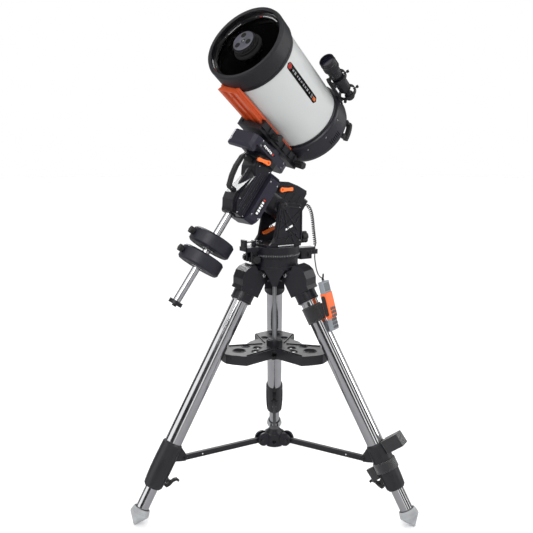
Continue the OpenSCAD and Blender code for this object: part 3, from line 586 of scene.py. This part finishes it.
# secondary cover: dark disc with three recesses, a pale centre screw and side ribs
bm = bmesh.new()
lathe(bm, [(7, 400.1), (7, 401.6), (8, 402.3), (40.5, 402.3), (43, 401), (43.4, 400.1)], 96)
add("secondary_cover", bm, "disc", "dec", OTA)
bm = bmesh.new()
lathe(bm, [(0, 400.1), (6.6, 400.1), (6.6, 401), (0, 401)], 32, None, False)
for i in range(3):
    lathe(bm, [(0, 402.2), (11, 402.2), (10.7, 402.6), (8, 402.7), (0, 402.5)], 40,
          rot("Z", 30 + 120 * i) @ shift(26, 0, 0), False)
lathe(bm, [(43.5, 400.1), (44.6, 400.1), (44.6, 401.4), (43.5, 401.6)], 96)
add("secondary_recesses", bm, "flat", "dec", OTA)
screw_heads("secondary_screw", [((0, 0, 401), (0, 0, 1))], OTA, "dec", 4.2, 1.3, "silver")
bm = bmesh.new()
for z in (387.5, 391, 394.5):
    lathe(bm, [(46.4, z), (47.6, z + 0.6), (47.6, z + 1.6), (46.4, z + 2.2)], 96)
add("secondary_ribs", bm, "black", "dec", OTA)

# rear cell: rim screws, band, back flange and vent covers
screw_heads("rear_screws", [((167 * math.cos(a), 167 * math.sin(a), -92), (math.cos(a), math.sin(a), 0))
                            for a in (math.radians(10 + 30 * i) for i in range(12))
                            if abs(math.degrees(a) - 190) > 25 and abs(math.degrees(a) - 320) > 8],
            OTA, "dec", 3, 1.0)
bm = bmesh.new()
lathe(bm, [(152.62, -69), (156.6, -69), (156.6, -62), (155.8, -60), (152.62, -60)], 128)
add("rear_band", bm, "cell", "dec", OTA)
bm = bmesh.new()
lathe(bm, [(38.3, -180.3), (60, -180.3), (60, -183), (57, -184.5), (41, -184.5), (38.3, -183.5)], 96)
add("back_flange", bm, "casting", "dec", OTA)
bm = bmesh.new()
for i in range(6):
    prism(bm, pill(-13, 13, -3.4, 3.4), -181.2, -180.2, rot("Z", 15 + 60 * i) @ shift(100, 0, 0) @ rot("Z", 90))
add("vent_covers", bm, "flat", "dec", OTA)

# finder: objective, eyepiece, knurled rings
bm = bmesh.new()
lathe(bm, [(0, 112.6), (12, 112.2), (20, 111.4), (26.6, 110.2), (26.6, 110.6), (0, 110.6)], 64, None, False)
add("finder_objective", bm, "lens", "dec", FINDER)
bm = bmesh.new()
lathe(bm, [(0, -123.1), (8, -122.7), (10, -122.3), (0, -122.3)], 48, None, False)
add("finder_eye_lens", bm, "lens", "dec", FINDER)
bm = bmesh.new()
for z0, z1, r in ((-116, -98, 18.1), (-64, -52, 22.5), (72, 86, 31.2)):
    for i in range(48):
        brick(bm, (r - 0.8, -0.7, z0), (r + 0.7, 0.7, z1), rot("Z", i * 7.5))
add("finder_knurls", bm, "black", "dec", FINDER)
bm = bmesh.new()
for z in (34, 44, 100):
    r = 25.5 if z < 60 else 31.1
    lathe(bm, [(r, z), (r + 1, z + 0.8), (r + 1, z + 3.2), (r, z + 4)], 72)
add("finder_bands", bm, "gloss", "dec", FINDER)

# dovetail bar: end stops and bright screws
bm = bmesh.new()
prism(bm, [(198.3, -33), (207, -33), (207, 33), (198.3, 33)], 332, 340.0)
prism(bm, [(198.3, -33), (205, -33), (205, 33), (198.3, 33)], -131, -124)
add("bar_end_blocks", bm, "bar", "dec", DEC, bevel=1)
screw_heads("bar_screws", [((199.5, y, z), (1, 0, 0)) for z in (20, 60, 235, 320) for y in (-22, 22)]
            + [((195.8, y, z), (-1, 0, 0)) for z in (230, 300) for y in (-20, 20)], DEC, "dec", 4, 2.4)

# ---------------------------------------------------------------- declination head
bm = bmesh.new()
swap = near_face(-75) @ SWAP_XY
prism(bm, pill(28, 115, 113, 131), 0.1, 1.4, swap)
add("dec_badge", bm, "gloss", "dec", DEC)
bm = bmesh.new()
for i in range(6):
    brick(bm, (48 + i * 10, 119 if i % 2 else 117.5, 1.3), (55 + i * 10, 126, 1.9), swap)
add("dec_badge_dashes", bm, "white", "dec", DEC)
bm = bmesh.new()
brick(bm, (36, 118, 1.3), (42, 126, 1.9), swap)
add("dec_badge_mark", bm, "red", "dec", DEC)
# raised rails round the head's outer face
bm = bmesh.new()
for s in (-1, 1):
    prism(bm, [(-84, s * 56), (-66, s * 70), (-40, s * 74.2), (40, s * 74.2), (40, s * 66), (-60, s * 60)][::s],
          137.9, 140.4, rot("Y", 90) @ Matrix(((-1, 0, 0, 0), (0, 1, 0, 0), (0, 0, 1, 0), (0, 0, 0, 1))))
add("dec_head_rails", bm, "cover", "dec", DEC, bevel=0.8)
screw_heads("dec_head_screws", [((x, s * 75, z), (0, s, 0)) for s in (-1, 1) for x in (112, 132)
                                for z in (-42, 120)], DEC, "dec", 3.2, 1.2)
bm = bmesh.new()
lathe(bm, [(55.05, 141), (57.6, 141), (58, 142), (58, 148), (57.6, 149), (55.05, 149)], 96, rot("Y", 90))
for i in range(72):
    brick(bm, (57.9, -0.25, 142.5), (58.4, 0.25, 147.5 if i % 6 else 144), rot("Y", 90) @ rot("Z", i * 5))
add("dec_setting_ring", bm, "black", "dec", DEC)

# saddle and jaw: screw heads
screw_heads("saddle_screws", [((203, 55, z), (1, 0, 0)) for z in (-110, -20, 60, 140)], DEC, "dec", 3.4, 2)
screw_heads("jaw_screws", [((203, -55, z), (1, 0, 0)) for z in (-105, -15, 45, 140)], DEC, "jaw", 3.4, 2)

# ---------------------------------------------------------------- right ascension body
bm = bmesh.new()
prism(bm, pill(-117, -40, -72, -48), 0.1, 1.4, near_face(-90))
add("ra_badge", bm, "gloss", "ra", POLAR)
bm = bmesh.new()
for i in range(5):
    brick(bm, (-110 + i * 12, -66 if i % 2 else -64, 1.3), (-102 + i * 12, -55, 1.9), near_face(-90))
add("ra_badge_dashes", bm, "white", "ra", POLAR)
bm = bmesh.new()
brick(bm, (-49, -65, 1.3), (-44, -55, 1.9), near_face(-90))
add("ra_badge_mark", bm, "red", "ra", POLAR)
bm = bmesh.new()
prism(bm, [(58, -50), (38, -84), (-114, -84), (-131, -77), (-144, -57), (-144, 57), (-131, 77), (-114, 84),
           (38, 84), (58, 50)], -86.5, -83.2)
add("ra_under_plate", bm, "black", "ra", POLAR, bevel=1.2)
bm = bmesh.new()
lathe(bm, [(58.3, -88.5), (63.8, -88.5), (64, -87.8), (64, -86.6), (58.3, -86.6)], 96)
for i in range(72):
    brick(bm, (63.8, -0.25, -88.4), (64.3, 0.25, -86.7), rot("Z", i * 5))
add("ra_setting_ring", bm, "black", "ra", POLAR)
screw_heads("ra_cover_screws", [((x, s * 90, z), (0, s, 0)) for s in (-1, 1) for x in (-122, 30)
                                for z in (-42, -77)], POLAR, "ra", 3.2, 1.2)

# declination housing: long ridges on both sides, screws and a shaft collar
bm = bmesh.new()
for s in (-1, 1):
    face = side_face(s, 64)
    for x0, x1, z in ((-136, 40, -27), (-136, 40, -19), (-136, 40, 3), (-120, 10, 10)):
        prism(bm, pill(x0, x1, z - 1.6, z + 1.6, 4), 0.05, 1.5, face)
add("dec_housing_ridges", bm, "cover", "ra", POLAR)
screw_heads("dec_housing_screws", [((x, s * 64, z), (0, s, 0)) for s in (-1, 1)
                                   for x, z in ((-143, -26), (-143, 4), (62, -28), (-92, 24), (60, 22))],
            POLAR, "ra", 3.2, 1.2)
bm = bmesh.new()
lathe(bm, [(16.2, -155.6), (24, -155.6), (25, -154.6), (25, -150.05), (16.2, -150.05)], 64, rot("Y", 90))
for i in range(24):
    brick(bm, (24.8, -1, -155), (25.9, 1, -150.3), rot("Y", 90) @ rot("Z", i * 15))
add("shaft_collar", bm, "black", "ra", POLAR)

# carry handle: grip ribs along the top bar, screws in its feet
bm = bmesh.new()
top = [(-64, 69), (-22, 82), (20, 88), (68, 86)]
for (x0, z0), (x1, z1) in zip(top, top[1:]):
    count = int(math.hypot(x1 - x0, z1 - z0) / 6)
    tilt = math.degrees(math.atan2(z1 - z0, x1 - x0))
    for i in range(count):
        t = (i + 0.5) / count
        at = shift(x0 + (x1 - x0) * t, 0, z0 + (z1 - z0) * t) @ rot("Y", -tilt)
        brick(bm, (-1.3, -14.4, -3), (1.3, 14.4, 0.7), at)
add("handle_ribs", bm, "grip", "ra", POLAR, bevel=0.4)
screw_heads("handle_screws", [((x, s * 14, z), (0, s, 0)) for s in (-1, 1) for x, z in ((-64, 54), (73, 72))],
            POLAR, "ra", 3.4, 1.4)

# counterweight shaft and weights
bm = bmesh.new()
lathe(bm, [(15.93, 115), (16.6, 115.2), (16.6, 117), (15.93, 117.4)], 64, rot("Y", -90))
add("shaft_shoulder", bm, "shaft", "ra", POLAR)
for nm, x0, body in (("upper", -264, "weight_upper"), ("lower", -346, "weight_lower")):
    bm = bmesh.new()
    for z in (1.0, 55.8):
        lathe(bm, [(17, z), (36, z), (38, z + 0.6), (38, z + 1.2), (17, z + 1.2)], 96)
    add("weight_faces_" + nm, bm, "weight", body, POLAR @ Matrix.Translation((x0 * MM, 0, 0)) @ rot("Y", -90))
    bm = bmesh.new()
    for z in (-0.6, 57.4):
        lathe(bm, [(16.1, z), (23, z), (23, z + 1.2), (16.1, z + 1.2)], 64)
    add("weight_bush_" + nm, bm, "steel", body, POLAR @ Matrix.Translation((x0 * MM, 0, 0)) @ rot("Y", -90))

# ---------------------------------------------------------------- mount head and fork
# fork cheeks: raised ribs, border and screws on both outer faces
bm = bmesh.new()
for s in (-1, 1):
    face = shift(0, 0, HUB) @ side_face(s, 72.05)
    rim = [(-54, 97), (-36, 122), (-24, 182), (-13, 256), (-8, 259), (74, 251), (80, 246), (85, 229), (85, 142),
           (82, 97)]
    for a, b in zip(rim, rim[1:] + rim[:1]):
        strip(bm, a, b, 2, 3, face)
    for a, b in (((-20, 200), (76, 110)), ((-34, 135), (80, 225)), ((10, 100), (74, 200)), ((-20, 225), (50, 100)),
                 ((-44, 108), (60, 130))):
        strip(bm, a, b, 1.8, 2.6, face)
add("fork_ribs", bm, "casting", "azimuth", TRI, bevel=0.6, seg=1)
bm = bmesh.new()
for s in (-1, 1):
    at = shift(0, s * 76, PIVOT) @ (rot("X", 90) if s < 0 else rot("X", -90))
    lathe(bm, [(0, 0), (15, 0), (15, 1.6), (12, 2.6), (6, 2.6), (5, 1), (0, 1)], 48, at, False)
add("pivot_caps", bm, "black", "azimuth", TRI)
screw_heads("fork_screws", [((x, s * 72, HUB + z), (0, s, 0)) for s in (-1, 1)
                            for x, z in ((-48, 103), (78, 104), (-5, 250), (76, 238))],
            TRI, "azimuth", 3.6, 2.6)
# generic label bar on the base, near side
bm = bmesh.new()
prism(bm, [(-29, -3.4), (52, -3.4), (52, 3.4), (-29, 3.4)], 0.05, 0.8, shift(0, 0, HUB + 86) @ near_face(-72))
add("base_label", bm, "black", "azimuth", TRI)
bm = bmesh.new()
for i in range(8):
    prism(bm, [(-25 + i * 9.5, -2), (-18.5 + i * 9.5, -2), (-18.5 + i * 9.5, 2), (-25 + i * 9.5, 2)], 0.7, 1.1,
          shift(0, 0, HUB + 86) @ near_face(-72))
add("base_label_dashes", bm, "white", "azimuth", TRI)
# steel rod on the north arm, azimuth scale ring, bubble level
bm = bmesh.new()
lathe(bm, [(0, -137), (3.3, -137), (3.3, -66), (5, -66), (5, -60), (0, -60)], 24,
      shift(0, 0, HUB + 100) @ rot("Y", 90), False)
add("arm_rod", bm, "steel", "azimuth", TRI)
bm = bmesh.new()
lathe(bm, [(103.05, HUB + 42), (104.6, HUB + 42), (104.8, HUB + 43), (104.8, HUB + 51), (104.6, HUB + 52),
           (103.05, HUB + 52)], 128)
add("azimuth_ring", bm, "black", "azimuth", TRI)
bm = bmesh.new()
for i in range(-18, 19):
    if abs(i) * 5 < 90:
        brick(bm, (104.7, -0.4, HUB + (44 if i % 2 else 43)), (105.1, 0.4, HUB + 50), rot("Z", -90 + i * 4))
add("azimuth_ticks", bm, "dash", "azimuth", TRI)
bm = bmesh.new()
lathe(bm, [(0, HUB + 91), (9, HUB + 91), (9, HUB + 96), (7.5, HUB + 97), (0, HUB + 97)], 32,
      shift(-66, 0, 0), False)
add("bubble_level", bm, "black", "azimuth", TRI)

# housing of the polar axis: side ribs and rear plate
bm = bmesh.new()
for z in (-120, -150, -180, -210):
    for s in (-1, 1):
        brick(bm, (20, min(s * 56, s * 57.6), z - 1.2), (74, max(s * 56, s * 57.6), z + 1.2))
add("housing_ribs", bm, "casting", "altitude", POLAR)
bm = bmesh.new()
prism(bm, [(-34, -34), (50, -34), (50, 34), (-34, 34)], -264.2, -262.05)
add("rear_plate", bm, "black", "altitude", POLAR, bevel=0.8)
screw_heads("rear_plate_screws", [((x, y, -264), (0, 0, -1)) for x in (-28, 44) for y in (-28, 28)],
            POLAR, "altitude", 3, 1)

# ---------------------------------------------------------------- tripod
bm = bmesh.new()
for a in ARMS:
    for s in (-1, 1):
        at = rot("Z", a) @ shift(75.7, s * 50, HUB - 53.5 + 19.3) @ rot("X", -90 * s)
        lathe(bm, [(0, 0), (8.5, 0), (8.5, 1.6), (6.5, 2.6), (3.4, 2.6), (3.2, 1.0), (0, 1.0)], 32, at, False)
add("hinge_caps", bm, "steel", "tripod", TRI)
bm = bmesh.new()
for a in ARMS:
    for s in (-1, 1):
        at = rot("Z", a) @ shift(75.7, s * 43.05, HUB - 53.5 + 19.3) @ rot("X", -90 * s)
        lathe(bm, [(11, 0), (16, 0), (16, 1.4), (15, 2), (11, 2)], 40, at)
add("hinge_washers", bm, "black", "tripod", TRI)
for k in "nwe":
    bm = bmesh.new()
    lathe(bm, [(44.05, -99.5), (45.4, -99), (45.4, -93), (44.05, -92)], 96)
    lathe(bm, [(44.05, -66), (44.9, -65.5), (44.9, -63), (44.05, -62.5)], 96)
    add("knuckle_collar_" + k, bm, "hub", "tripod", LEG[k])
    bm = bmesh.new()
    lathe(bm, [(35.1, -104), (38.5, -104), (39.5, -102.5), (39.5, -100.05), (35.1, -100.05)], 96)
    add("leg_collar_" + k, bm, "steel", "tripod", LEG[k])
    # clamp: side ribs and pin heads
    bm = bmesh.new()
    for a in (60, 120, 240, 300):
        prism(bm, [(40.5, -905), (43.6, -880), (44.6, -850), (44.6, -790), (42.5, -748), (40, -748), (40, -905)],
              -1.6, 1.6, rot("Z", a) @ rot("X", 90))
    add("clamp_ribs_" + k, bm, "clamp", "tripod", LEG[k], bevel=0.5, seg=1)
    screw_heads("clamp_pins_" + k, [((-76, s * 11, -773), (0, s, 0)) for s in (-1, 1)], LEG[k], "tripod", 5, 2.2)
    # foot: moulded rings
    bm = bmesh.new()
    for z, r in ((-1017, 34.4), (-1023, 36), (-1029, 37.4)):
        lathe(bm, [(r, z), (r + 0.9, z - 1), (r + 0.9, z - 2.4), (r, z - 3.4)], 96)
    add("foot_rings_" + k, bm, "rubber", "lower_" + k, LEG[k])
    bm = bmesh.new()
    lathe(bm, [(26.05, -1011.95), (31, -1011.95), (30.6, -1011.4), (26.05, -1011.4)], 64)
    add("foot_collar_" + k, bm, "clamp", "lower_" + k, LEG[k])

# hub: side ribs and lower rim
bm = bmesh.new()
for i in range(12):
    a = 30 * i + 15
    if abs(a - 180) > 44:
        brick(bm, (96.9, -2, HUB + 4), (98.4, 2, HUB + 30), rot("Z", a))
for i in range(60):
    if abs(6 * i - 180) > 44:
        brick(bm, (96.9, -5.2, HUB + 31), (98.9, 5.2, HUB + 35), rot("Z", 6 * i))
add("hub_ribs", bm, "hub", "tripod", TRI)

# tray: rims round the holes, ribs and hub boss
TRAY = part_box("accessory_tray")[1].z / MM - 26  # top of the plate, 26 mm below the top of its hub
bm = bmesh.new()
for a in ARMS:
    for x, y, r in ((170, 0, 25.7), (116, 44, 16.2), (116, -44, 16.2), (84, 0, 16.2)):
        rim = [(r, 0.05), (r + 3.4, 0.05), (r + 3, 1.5), (r + 1, 2), (r, 1.4)]
        lathe(bm, rim, 64, rot("Z", a) @ shift(x, y, TRAY))
add("tray_rims", bm, "tray", "tray", TRI)
bm = bmesh.new()
for a in ARMS:
    for s in (-1, 1):
        p = [(36, s * 44), (176, s * 84), (176, s * 79.5), (36, s * 39.5)]
        prism(bm, p[::s], TRAY + 0.05, TRAY + 4, rot("Z", a))
add("tray_lips", bm, "tray", "tray", TRI, bevel=1, seg=2)
bm = bmesh.new()
lathe(bm, [(9, TRAY + 26.1), (24, TRAY + 26.1), (27, TRAY + 25.9), (25, TRAY + 29), (9, TRAY + 30)], 64)
add("tray_boss", bm, "tray", "tray", TRI)
bm = bmesh.new()
for i in range(10):
    prism(bm, pill(18, 40, -3, 3, 5), TRAY - 53.1, TRAY - 52, rot("Z", 18 + 36 * i))
add("tray_nut_grips", bm, "knob", "tray_nut", TRI)

# spreader: light plugs near the clamps
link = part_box("spreader_arms")
bm = bmesh.new()
zmid = (link[0].z + link[1].z) / 2 / MM
for a in ARMS:
    for s in (-1, 1):
        lathe(bm, [(0, 0), (2.6, 0), (2.6, 0.6), (0, 0.9)], 20,
              rot("Z", a) @ shift(345, s * 7.02, zmid) @ rot("X", -90 * s), False)
add("arm_plugs", bm, "white", "tripod", TRI)

# ---------------------------------------------------------------- hand controller and straps
bm = bmesh.new()
brick(bm, (9.6, -23.6, 60.5), (10.6, 23.6, 91.5))
add("handset_screen", bm, "screen", "tripod", HANDSET, bevel=0.3)
bm = bmesh.new()
for i in range(6):
    for j in (-1, 0, 1):
        x = 14.05 if i > 2 else 9.05
        x1 = 17 if i > 2 else 12
        at = shift(0, j * 15, -88 + i * 15) @ rot("Y", 90)
        lathe(bm, [(5.2, x), (6, x + 0.3), (5.8, x1 - 0.6), (4.6, x1), (0, x1 + 0.1), (0, x)], 24, at, True)
add("handset_keys", bm, "key", "tripod", HANDSET)
bm = bmesh.new()
for s in (-1, 1):
    prism(bm, pill(-40, 44, -9, 9, 8), s * 34.02, s * 34.9 if s > 0 else s * 34.9, rot("Y", -90) @ rot("X", 90))
add("handset_side_grips", bm, "grip", "tripod", HANDSET)
bm = bmesh.new()
lathe(bm, [(2.6, 105), (5.4, 105), (5.2, 109), (4.2, 113), (3.4, 116), (2.6, 117)], 24)
add("handset_gland", bm, "cord", "tripod", HANDSET)
bm = bmesh.new()
for z0, z1 in ((-191, -187), (-127, -123)):
    lathe(bm, [(41.05, z0), (41.7, z0 + 0.6), (41.7, z1 - 0.6), (41.05, z1)], 96)
add("strap_edges", bm, "strap", "tripod", LEG["w"])
bm = bmesh.new()
for z0 in (-841, -807):
    lathe(bm, [(47.05, z0), (47.7, z0 + 0.6), (47.7, z0 + 3.4), (47.05, z0 + 4)], 96)
add("clamp_strap_edges", bm, "strap", "tripod", LEG["w"])

# ---------------------------------------------------------------- knobs: centre caps
AZ_KNOB = shift(-110 * MM, 0, (HUB + 32) * MM)
for nm, body, at, h in (
        ("az_w", "az_knob_w", TRI @ AZ_KNOB @ shift(0, -15 * MM, 0) @ rot("X", 90), 36.5),
        ("az_e", "az_knob_e", TRI @ AZ_KNOB @ shift(0, 15 * MM, 0) @ rot("X", -90), 36.5),
        ("alt", "alt_knob", TRI @ shift(0, 0, (HUB + 106) * MM) @ rot("Y", 90), 152),
        ("focus", "focus", OTA @ rot("Z", 150) @ shift(88 * MM, 0, 0) @ rot("X", 180), 206)):
    bm = bmesh.new()
    lathe(bm, [(0, h), (7.5, h), (7.5, h + 1), (6.6, h + 1.6), (3, h + 1.6), (2.6, h + 0.8), (0, h + 0.8)], 32,
          None, False)
    add("knob_cap_" + nm, bm, "clamp", body, at)

# ---------------------------------------------------------------- floor, light, world
bm = bmesh.new()
bmesh.ops.create_circle(bm, cap_ends=True, radius=1.0, segments=96)
me = bpy.data.meshes.new("floor")
bmesh.ops.transform(bm, matrix=Matrix.Diagonal((40, 40, 1, 1)), verts=bm.verts)
bm.to_mesh(me)
bm.free()
floor_mat = surface("floor_paint", (0.93, 0.93, 0.935), 0.8, vary=0.012, mottle=2, grain=60, bump=0.02, edge=0)
# painted reflection: reflections see a grey floor, painted darker for glossy rays than the pale floor the camera sees
n, l = floor_mat.node_tree.nodes, floor_mat.node_tree.links
p = next(x for x in n if x.type == "BSDF_PRINCIPLED")
ray = n.new("ShaderNodeLightPath")
painted_reflection_dim = n.new("ShaderNodeMix")
painted_reflection_dim.data_type = "RGBA"
painted_reflection_dim.inputs["B"].default_value = (0.28, 0.28, 0.29, 1)
# painted reflection: the floor colour turns dark grey only where a glossy ray sees it
l.new(ray.outputs["Is Glossy Ray"], painted_reflection_dim.inputs["Factor"])
l.new(p.inputs["Base Color"].links[0].from_socket, painted_reflection_dim.inputs["A"])
l.new(painted_reflection_dim.outputs["Result"], p.inputs["Base Color"])
me.materials.append(floor_mat)
floor = bpy.data.objects.new("floor", me)
bpy.context.scene.collection.objects.link(floor)


def area(name, loc, target, size, power, col=(1, 1, 1)):
    d = bpy.data.lights.new(name, "AREA")
    d.shape = "RECTANGLE"
    d.size, d.size_y = size
    d.energy = power
    d.color = col
    o = bpy.data.objects.new(name, d)
    o.location = loc
    o.rotation_euler = (Vector(target) - Vector(loc)).to_track_quat("-Z", "Y").to_euler()
    bpy.context.scene.collection.objects.link(o)


area("key", (-2.8, -2.6, 3.6), (0, 0, 1.1), (2.2, 1.6), 70)
area("fill", (3.2, -2.2, 2.4), (0, 0, 1.0), (1.8, 2.4), 38)
area("rim", (0.8, 3.2, 3.2), (0, 0, 1.2), (2.4, 1.2), 60)

world = bpy.data.worlds.new("studio")
bpy.context.scene.world = world
world.use_nodes = True
n, l = world.node_tree.nodes, world.node_tree.links
n.clear()
out = n.new("ShaderNodeOutputWorld")
bg = n.new("ShaderNodeBackground")
plain = n.new("ShaderNodeBackground")
mix = n.new("ShaderNodeMixShader")
lp = n.new("ShaderNodeLightPath")
tc = n.new("ShaderNodeTexCoord")
sep = n.new("ShaderNodeSeparateXYZ")
at2 = n.new("ShaderNodeMath")
at2.operation = "ARCTAN2"
unit = n.new("ShaderNodeMapRange")
unit.inputs["From Min"].default_value = -math.pi
unit.inputs["From Max"].default_value = math.pi
ramp = n.new("ShaderNodeValToRGB")
ramp.color_ramp.interpolation = "EASE"
e = ramp.color_ramp.elements
bright, dark = (1, 1, 1, 1), (0.02, 0.02, 0.022, 1)
e[0].position, e[0].color = 0.0, bright
e[1].position, e[1].color = 1.0, bright
for az, half in ((-142, 20), (-97, 7), (-59, 12), (-18, 8), (31, 16), (84, 8), (125, 18)):
    c = (az + 180) / 360
    for pos, colr in ((c - (half + 5) / 360, bright), (c - half / 360, dark), (c + half / 360, dark),
                      (c + (half + 5) / 360, bright)):
        el = e.new(pos)
        el.color = colr
l.new(tc.outputs["Generated"], sep.inputs[0])
l.new(sep.outputs["Y"], at2.inputs[0])
l.new(sep.outputs["X"], at2.inputs[1])
l.new(at2.outputs[0], unit.inputs["Value"])
l.new(unit.outputs[0], ramp.inputs[0])
# reflections see dark flags round the set, everything else sees even white
gloss_mix = n.new("ShaderNodeMix")
gloss_mix.data_type = "RGBA"
gloss_mix.inputs["A"].default_value = (1, 1, 1, 1)
l.new(lp.outputs["Is Glossy Ray"], gloss_mix.inputs["Factor"])
l.new(ramp.outputs[0], gloss_mix.inputs["B"])
l.new(gloss_mix.outputs["Result"], bg.inputs["Color"])
bg.inputs["Strength"].default_value = 1.14
plain.inputs["Color"].default_value = (1, 1, 1, 1)
plain.inputs["Strength"].default_value = 1.0
l.new(lp.outputs["Is Camera Ray"], mix.inputs[0])
l.new(bg.outputs[0], mix.inputs[1])
l.new(plain.outputs[0], mix.inputs[2])
l.new(mix.outputs[0], out.inputs[0])
